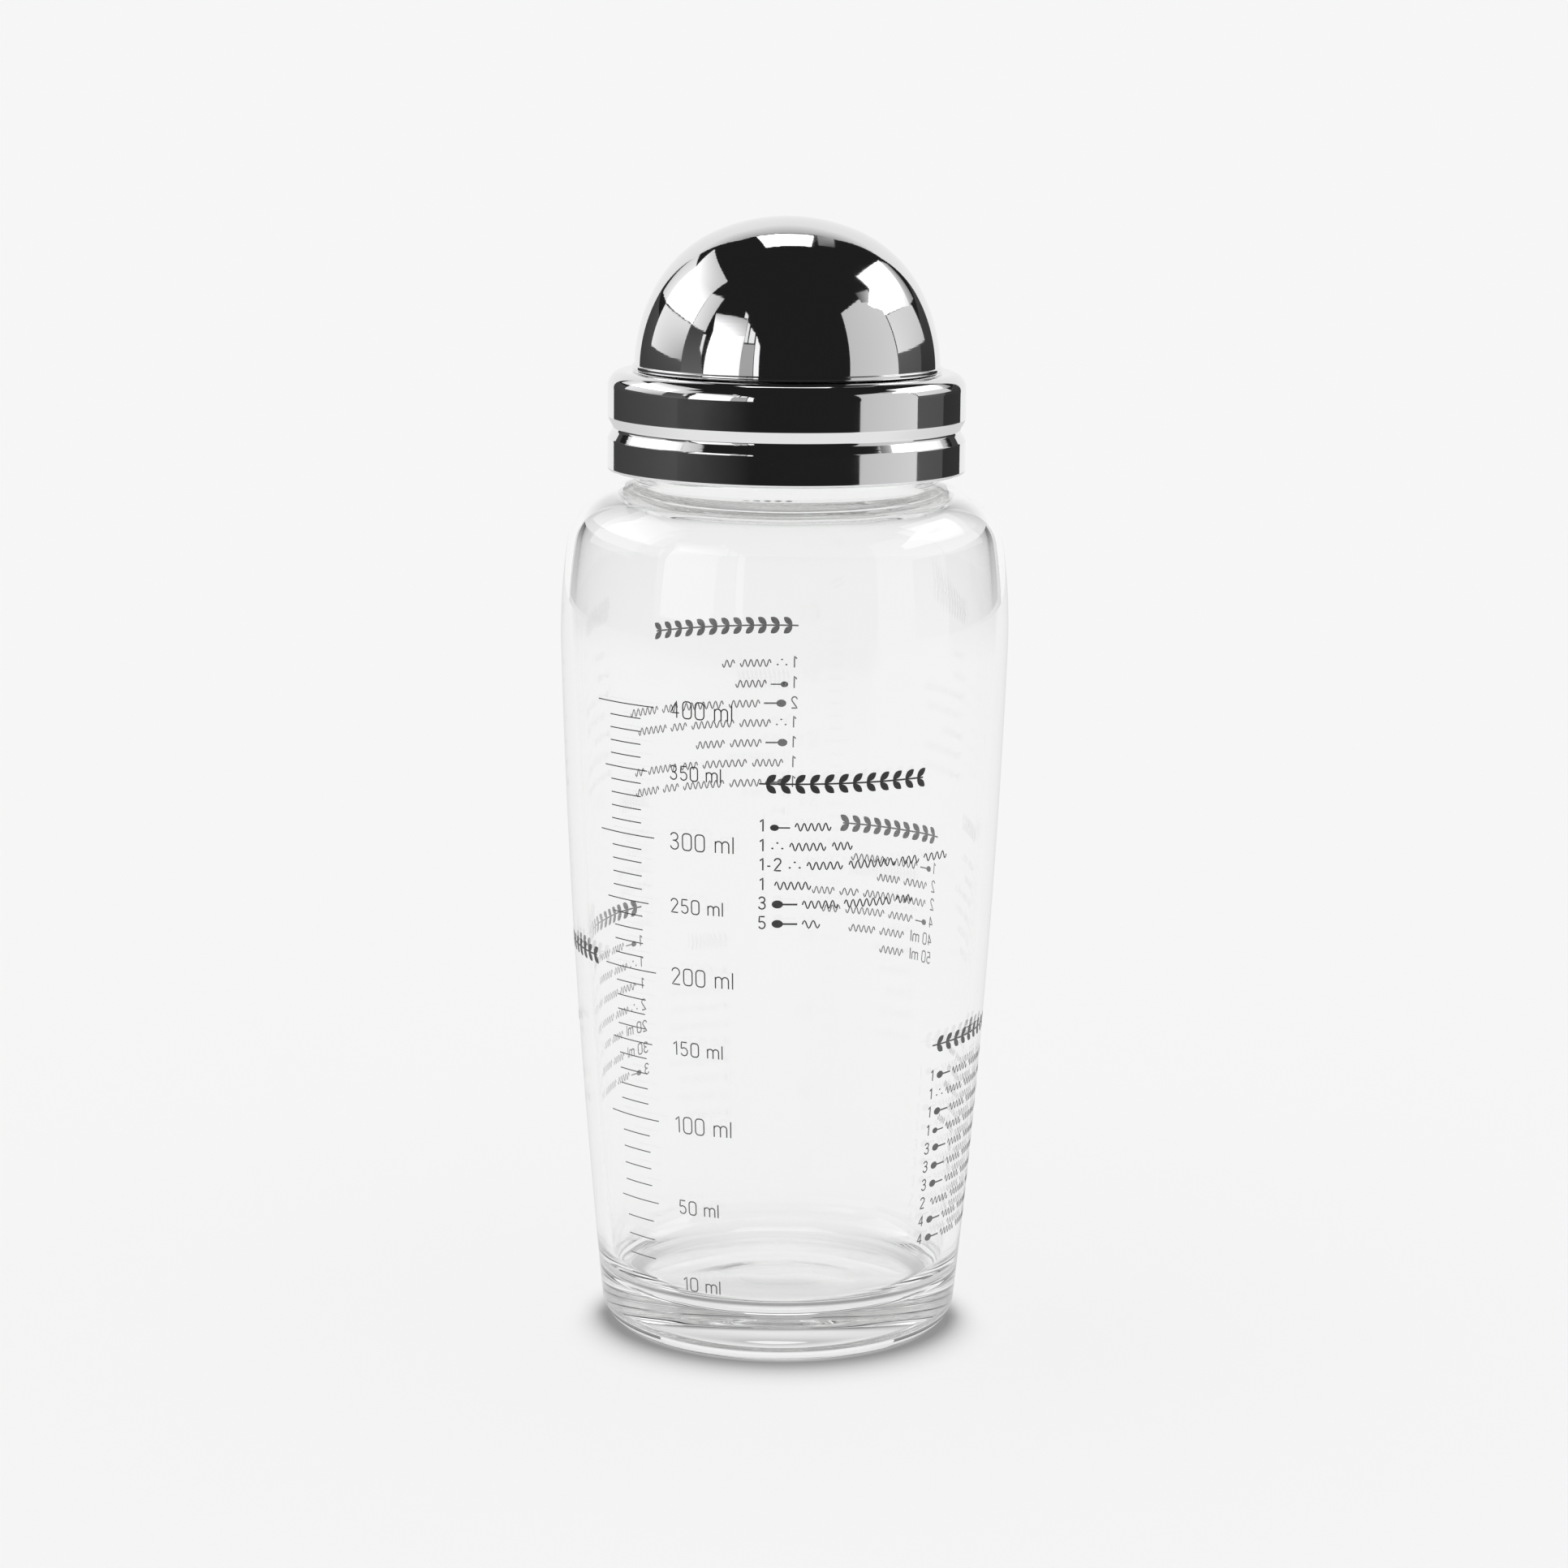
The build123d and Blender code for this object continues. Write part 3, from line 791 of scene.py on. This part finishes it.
# Domed cap
side_centre = (dome_radius - dome_side_radius, dome_foot)
side_end = radians(dome_side_turn)
shoulder_end = side_end + radians(dome_shoulder_turn)
dome_shoulder_centre = (
    side_centre[0] + (dome_side_radius - dome_shoulder_radius) * cos(side_end),
    side_centre[1] + (dome_side_radius - dome_shoulder_radius) * sin(side_end),
)
crown_radius = dome_shoulder_radius + dome_shoulder_centre[0] / cos(shoulder_end)
crown_centre = (0, dome_shoulder_centre[1] - (crown_radius - dome_shoulder_radius) * sin(shoulder_end))


def dome_side(inset, first_height):
    """The three arcs of the dome, moved in by the inset, from the first height up to the axis."""
    radius = dome_side_radius - inset
    first = asin((first_height - side_centre[1]) / radius)
    return np.concatenate((
        arc(side_centre, radius, first, side_end, 40),
        arc(dome_shoulder_centre, dome_shoulder_radius - inset, side_end, shoulder_end, 40),
        arc(crown_centre, crown_radius - inset, shoulder_end, pi / 2, 24),
        [(0, crown_centre[1] + crown_radius - inset)],
    ))


bead_reach = dome_radius + foot_bead_reach
bead_top = dome_foot + foot_bead_height
bead = rounded(
    (
        (dome_radius - sheet, dome_foot),
        (bead_reach, dome_foot),
        (bead_reach, bead_top),
        (dome_radius, bead_top),
    ),
    (foot_bead_round, foot_bead_round),
    6,
)
dome_profile = np.concatenate((
    dome_side(sheet, dome_foot)[::-1],
    bead[1:-1],
    dome_side(0, bead_top)[:1],
    dome_side(0, bead_top + hold_distance),
))
dome_piece = finish_mesh("dome_sheet", *turned(dome_profile))
put(dome_piece, mirror_steel)
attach(dome_piece, "cap")
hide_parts("dome_shell")

# Inner pieces keep their CAD shapes
for node, made in (
    ("thread_insert", insert_plastic),
    ("dome_liner", insert_plastic),
    ("neck_seal", clear_silicone),
    ("pouring_neck_ring", clear_silicone),
    ("dome_seal", clear_silicone),
    ("pouring_neck", inner_steel),
    ("strainer_disc", inner_steel),
):
    put(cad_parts[node], made)


# Floor, world and studio cards
def glow(name):
    """A material that only shines, as strongly as the mesh's own level says at each point."""
    made = bpy.data.materials.new(name)
    made.use_nodes = True
    tree = made.node_tree
    tree.nodes.clear()
    level = tree.nodes.new("ShaderNodeAttribute")
    level.attribute_name = "level"
    shine = tree.nodes.new("ShaderNodeEmission")
    end = tree.nodes.new("ShaderNodeOutputMaterial")
    tree.links.new(level.outputs["Fac"], shine.inputs["Strength"])
    tree.links.new(shine.outputs["Emission"], end.inputs["Surface"])
    return made


card_glow = glow("card_glow")


def shining(piece, levels, through):
    """Makes the piece shine with those levels at its points, unseen by the camera and casting no
    light on the floor. Rays that the glass has bent see it where through is true."""
    piece.data.attributes.new("level", "FLOAT", "POINT").data.foreach_set("value", levels)
    put(piece, card_glow)
    piece.visible_camera = False
    piece.visible_diffuse = False
    piece.visible_transmission = through
    piece.visible_shadow = False


# The floor. A contact shadow is painted into its colour, since the glass casts none: a darker ring
# round the foot, which is wider in front because the strongest lamp stands behind, where the painted
# shade is faint, and a lighter painted shade under the foot itself. The shade's inner edge and width are
# mixed from their sizes at the sides to those in front by the share of the way that points to the front.
# Reflections of the floor fade far out into what stands there: (azimuth, where the fading starts, where
# it ends, level that is left), and they are a little greyer behind the bottle.
floor_reach = 1300.0
floor_level = -0.02
floor_shade = 0.922
shade_edge = (31.9, 29.1)
shade_width = (5.3, 14.0)
shade_steps = (
    (0.0, 0.3), (0.17, 0.44), (0.33, 0.6), (0.5, 0.73), (0.67, 0.82), (0.83, 0.87), (1.0, 0.905),
    (1.3, floor_shade),
)
shade_foot = ((26.5, 0.86), (29.0, 0.3))
shade_behind = 0.15
mirrored_behind = 0.76
shaded_rings = np.arange(24, 60, 0.75)
far_fades = (
    (-180, 2000, 3000, 1.0), (-155, 2000, 3000, 1.0), (-135, 600, 1300, 0.3), (-73, 600, 1300, 0.2),
    (-22, 400, 900, 0.02), (42, 400, 900, 0.02), (50, 700, 1300, 0.65), (88, 700, 1300, 0.8),
    (95, 600, 1300, 0.3), (135, 600, 1300, 0.3), (155, 2000, 3000, 1.0), (180, 2000, 3000, 1.0),
)
floor_rings = np.concatenate(([0], shaded_rings, np.linspace(60, floor_reach, 80)))
points, faces = turned(np.stack((floor_rings, np.full(len(floor_rings), floor_level)), axis=1)[::-1])
floor = finish_mesh("floor", points, faces)
reach = np.hypot(points[:, 0], points[:, 1])
frontal = -points[:, 1] / np.maximum(reach, 1)
ahead = np.clip(frontal, 0, 1)
outward = reach - shade_edge[0] - (shade_edge[1] - shade_edge[0]) * ahead
outward /= shade_width[0] + (shade_width[1] - shade_width[0]) * ahead
# The painted contact shadow on the floor, as a level at each point
shade = np.where(
    reach < shade_foot[1][0],
    np.interp(reach, *zip(*shade_foot)),
    np.interp(outward, *zip(*shade_steps)),
)
shade = floor_shade + (shade - floor_shade) * (1 - (1 - shade_behind) * np.clip(-frontal, 0, 1))
floor.data.attributes.new("shade", "FLOAT", "POINT").data.foreach_set("value", shade)
bearing = np.degrees(np.arctan2(points[:, 0], -points[:, 1]))
fade_azimuth, fade_start, fade_end, far_level = np.array(far_fades).T
start = np.interp(bearing, fade_azimuth, fade_start)
part = np.clip((reach - start) / (np.interp(bearing, fade_azimuth, fade_end) - start), 0, 1)
part = part * part * (3 - 2 * part)
mirrored = shade * (1 - part) + part * np.interp(bearing, fade_azimuth, far_level)
mirrored *= np.interp(frontal, (-1.0, 0.2), (mirrored_behind, 1.0))
floor.data.attributes.new("mirrored_shade", "FLOAT", "POINT").data.foreach_set("value", mirrored)
# The floor's colour carries the painted contact shadow
floor_paint, tree, shader = material("floor_paint")
shader.inputs["Roughness"].default_value = 1.0
shader.inputs["Specular IOR Level"].default_value = 0.0
plain_shade = tree.nodes.new("ShaderNodeAttribute")
plain_shade.attribute_name = "shade"
mirrored_shade = tree.nodes.new("ShaderNodeAttribute")
mirrored_shade.attribute_name = "mirrored_shade"
# A ray that glass bends counts as glossy too, and it sees the plain shade
ray = tree.nodes.new("ShaderNodeLightPath")
reflected = tree.nodes.new("ShaderNodeMath")
reflected.operation = "SUBTRACT"
reflected.use_clamp = True
chosen = tree.nodes.new("ShaderNodeMix")
chosen.data_type = "RGBA"
tree.links.new(ray.outputs["Is Glossy Ray"], reflected.inputs[0])
tree.links.new(ray.outputs["Is Transmission Ray"], reflected.inputs[1])
tree.links.new(reflected.outputs["Value"], chosen.inputs["Factor"])
tree.links.new(plain_shade.outputs["Fac"], chosen.inputs["A"])
tree.links.new(mirrored_shade.outputs["Fac"], chosen.inputs["B"])
tree.links.new(chosen.outputs["Result"], shader.inputs["Base Color"])
put(floor, floor_paint)

card_middle = 180.0
card_points = 9
ceiling_distance = 2800.0
ceiling_foot = 8
ceiling_levels = ((8, 0.95), (18, 0.75), (30, 0.35), (45, 0.1), (90, 0.1))
softbox = 2.2
haze = (0.98, 0.98, 0.02, 0.02)


def card(name, corners, distance, levels, through=False):
    """A flat studio card. Its four corners are given as (azimuth, elevation) from the point of the axis
    at the card middle's height, at that distance from it, anticlockwise from the lower left as seen
    from outside. The points and levels between them are mixed evenly. Reflections see it, and where
    through is true, so do rays that the glass has bent."""
    across, up = np.meshgrid(np.linspace(0, 1, card_points), np.linspace(0, 1, card_points))
    weights = np.stack(((1 - across) * (1 - up), across * (1 - up), across * up, (1 - across) * up), axis=2)
    azimuth, elevation = np.radians(corners).T
    places = distance * np.stack((
        np.cos(elevation) * np.sin(azimuth),
        -np.cos(elevation) * np.cos(azimuth),
        np.sin(elevation) + card_middle / distance,
    ), axis=1)
    numbers = np.arange(card_points**2).reshape(card_points, card_points)
    quads = np.stack((numbers[:-1, :-1], numbers[1:, :-1], numbers[1:, 1:], numbers[:-1, 1:]), axis=2)
    piece = finish_mesh(name, (weights @ places).reshape(-1, 3), quads.reshape(-1, 4).tolist())
    shining(piece, weights.reshape(-1, 4) @ np.broadcast_to(levels, 4), through)
    return piece


# Behind and above
card("backdrop_low", ((147, -14), (214, -14), (214, 30), (147, 30)), 2200, (0.95, 0.95, 0.85, 0.85))
card("backdrop_high", ((147, 30), (214, 30), (204, 48), (158, 46)), 2200, (0.85, 0.85, 0.42, 0.42))
card("top_softbox", ((168, 50), (196, 50), (208, 69), (155, 67)), 1500, softbox, True)
card("top_scrap", ((160, 46), (167, 49), (154, 62), (145, 57)), 1520, (0.45, 0.3, 0.2, 0.08))
# On the left
card("left_wall", ((-147, -12), (-73, -12), (-73, 4), (-147, 14)), 2400, (0.05, 0.055, 0.13, 0.06))
card("left_bench", ((-73, -12), (-22, -12), (-22, -3.5), (-73, -3.5)), 1580, (0.07, 0.015, 0.015, 0.07))
card("left_slant", ((-140.5, 15.7), (-127, 18.5), (-131, 37), (-147, 33)), 1510, (0.75, 1, 0.95, 0.8))
card(
    "left_softbox", ((-127, 18.5), (-84, 22.5), (-82, 42.5), (-131, 37)), 1500, (2.0, 2.0, 0.72, 1.4),
    through=True,
)
card(
    "left_softbox_top", ((-131, 37), (-82, 42.5), (-80, 53), (-146, 41)), 1500, (1.4, 0.72, 0.62, 0.72),
    through=True,
)
card("left_panel", ((-126, 4), (-86, 3.4), (-85, 22), (-126, 18)), 1560, (0.95, 0.42, 0.85, 0.95))
card("left_fold", ((-83.5, 22), (-69, 21), (-66, 42.5), (-82, 41)), 1540, (1.0, 0.7, 0.6, 0.8))
card("left_gap", ((-86, -3.5), (-65, -3.5), (-71, 21), (-85, 22)), 1570, (0.13, 0.14, 0.07, 0.06))
card("left_strip", ((-70, 6), (-67.5, 6), (-67.5, 20), (-70, 20)), 1540, 0.9)
card("tall_panel_low", ((-65, -3.5), (-36, -3.5), (-34, 23), (-62, 23)), 1500, (1.2, 1.2, 1.1, 2.0))
card("tall_panel_high", ((-62, 23), (-34, 23), (-34.5, 34), (-66, 33)), 1500, (2.0, 0.8, 0.5, 0.55), True)
card("window_sill", ((-36, -3.5), (-25.3, -3.5), (-25.3, 18.5), (-34, 18.5)), 1500, 0.42)
card("window_left", ((-33.8, 19.5), (-31.3, 19.5), (-31.8, 31), (-34, 33)), 1500, 0.9)
card("window_middle", ((-30.5, 19.5), (-26, 19.5), (-26, 26), (-30.5, 29.5)), 1500, 0.95)
card("window_right", ((-24.8, -3.5), (-21, -3.5), (-21, 18), (-24.8, 25)), 1500, 1.1)
card("window_top", ((-38.5, 35), (-35, 34.5), (-35.5, 37), (-39, 39)), 1500, 0.9)
# On the right
card("right_panel", ((46.7, -12), (91, -12), (91, 40), (49.5, 37)), 1600, (0.6, 0.75, 0.7, 0.6))
card("right_patch", ((73.5, 31.5), (86, 34), (91, 42), (75, 45)), 1520, (0.3, 0.9, 0.5, 0.06))
card("right_softbox", ((91, 26.5), (126, 18.5), (141, 35), (97, 52)), 1500, (softbox, 0.9, 1.8, 1.2), True)
card("right_softbox_foot", ((73.8, 25.2), (92, 26.5), (95, 42), (74.5, 32.5)), 1500, softbox, True)
card("right_slant", ((126, 18.5), (137, 16), (144, 29), (141, 35)), 1500, (0.6, 0.3, 0.3, 0.8))
card("right_reflector", ((92, 7), (130, 5.5), (129, 17.5), (92, 26)), 1540, (0.85, 0.62, 0.72, 0.8))
card("right_wall", ((90, -12), (117, -12), (121, 6), (91, 8)), 1660, (0.084, 0.084, 0.1, 0.13))
card("right_corner", ((117, -12), (147, -12), (147, 18), (121, 6)), 1660, (0.026, 0.035, 0.06, 0.05))
# What only rays that the glass has bent see: low haze at both sides that grows dark upwards, and a
# ceiling that grows dark towards its top
left_haze = card("left_haze", ((-150, -12), (-73, -12), (-73, 8), (-150, 8)), 2400, haze, True)
left_haze.visible_glossy = False
right_haze = card("right_haze", ((73, -12), (150, -12), (150, 8), (73, 8)), 2400, haze, True)
right_haze.visible_glossy = False
rise = np.radians(np.linspace(ceiling_foot, 90, 24))
ceiling_rows = ceiling_distance * np.stack((np.cos(rise), np.sin(rise)), axis=1)
ceiling_rows[-1, 0] = 0
points, faces = turned(ceiling_rows)
ceiling = finish_mesh("ceiling", points, faces)
ceiling_level = np.interp(np.degrees(np.arcsin(points[:, 2] / ceiling_distance)), *zip(*ceiling_levels))
shining(ceiling, ceiling_level, True)
ceiling.visible_glossy = False

world = bpy.data.worlds.new("studio")
bpy.context.scene.world = world
world.use_nodes = True
tree = world.node_tree
tree.nodes.clear()
light = tree.nodes.new("ShaderNodeLightPath")
end = tree.nodes.new("ShaderNodeOutputWorld")


def sky(level):
    """A background of one level."""
    node = tree.nodes.new("ShaderNodeBackground")
    node.inputs["Color"].default_value = (1, 1, 1, 1)
    node.inputs["Strength"].default_value = level
    return node.outputs["Background"]


def choose(ray, yes, no):
    """The one background for rays of that kind and the other for the rest."""
    node = tree.nodes.new("ShaderNodeMixShader")
    tree.links.new(light.outputs[ray], node.inputs["Fac"])
    tree.links.new(no, node.inputs[1])
    tree.links.new(yes, node.inputs[2])
    return node.outputs["Shader"]


# Reflections see a nearly black room, the floor is lit by a white one, and the backdrop that the
# camera sees is as bright as the floor
reflected_level = 0.015
lighting_level = 1.0
bent_level = 0.95
backdrop_level = floor_shade
seen = choose("Is Glossy Ray", sky(reflected_level), sky(lighting_level))
seen = choose("Is Transmission Ray", sky(bent_level), seen)
seen = choose("Is Camera Ray", sky(backdrop_level), seen)
tree.links.new(seen, end.inputs["Surface"])

# Camera, fitted to the photo, with its place in metres and its turns in radians
lens = bpy.data.cameras.new("camera")
lens.lens = 98.62
lens.sensor_width = 36.0
lens.sensor_fit = "HORIZONTAL"
lens.clip_start = 0.05
lens.clip_end = 50.0
camera = bpy.data.objects.new("camera", lens)
bpy.context.collection.objects.link(camera)
camera_place = (0.000174, -0.76607, 0.2373)
camera_tilt = 0.17767
camera_roll = 0.0102
camera.matrix_world = (
    Matrix.Translation(camera_place)
    @ Matrix.Rotation(pi / 2 - camera_tilt, 4, "X")
    @ Matrix.Rotation(camera_roll, 4, "Z")
)
bpy.context.scene.camera = camera

# Light that is thrown to and fro in the thick base needs more turns than usual to find its way out
bounces = bpy.context.scene.cycles
bounces.max_bounces = 64
bounces.glossy_bounces = 48
bounces.transmission_bounces = 64
bpy.context.scene.view_settings.view_transform = "Standard"
